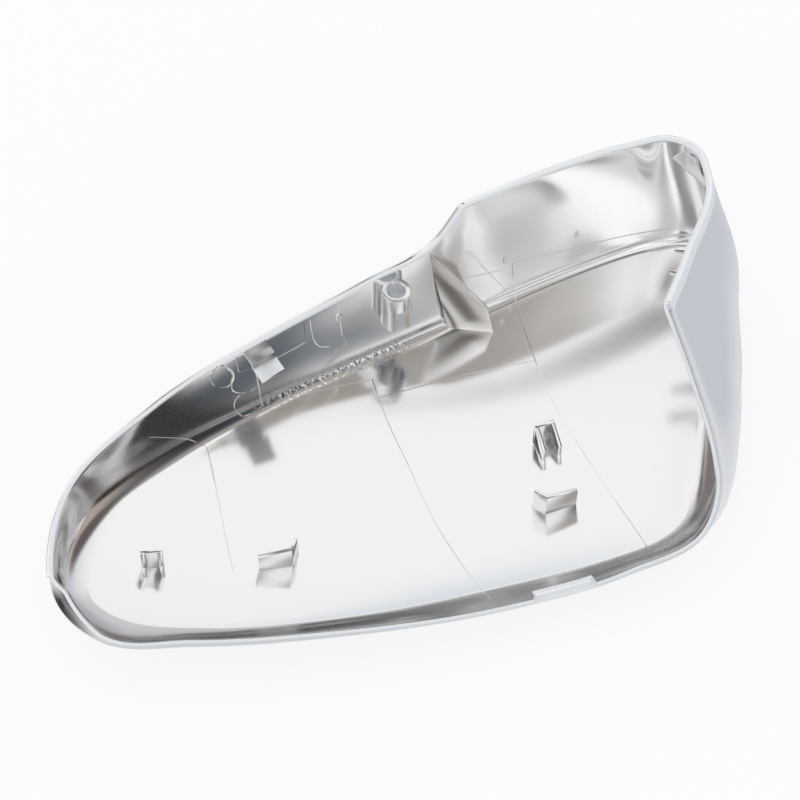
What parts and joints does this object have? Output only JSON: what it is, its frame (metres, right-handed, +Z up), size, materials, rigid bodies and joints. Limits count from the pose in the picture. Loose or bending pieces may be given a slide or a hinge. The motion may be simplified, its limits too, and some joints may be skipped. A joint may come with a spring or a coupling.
{
  "type": "wing mirror cover",
  "caption": "Chrome-plated moulded cap for a wing mirror housing, seen into its hollow inside, with clip sockets, a locating boss and a stepped rim.",
  "frame": {"origin": "middle of the cover's box, at the level of the face's lowest point, which is what it lies on", "axes": "+X from the narrow tip to the outer end, +Y to the tall wall, +Z up out of the opening"},
  "size_m": [0.2516, 0.1272, 0.0712],
  "materials": {
    "chrome_plating": "bright chrome plating over moulded plastic"
  },
  "bodies": {
    "root": {"mirror_cover": "chrome_plating"}
  },
  "joints": []
}
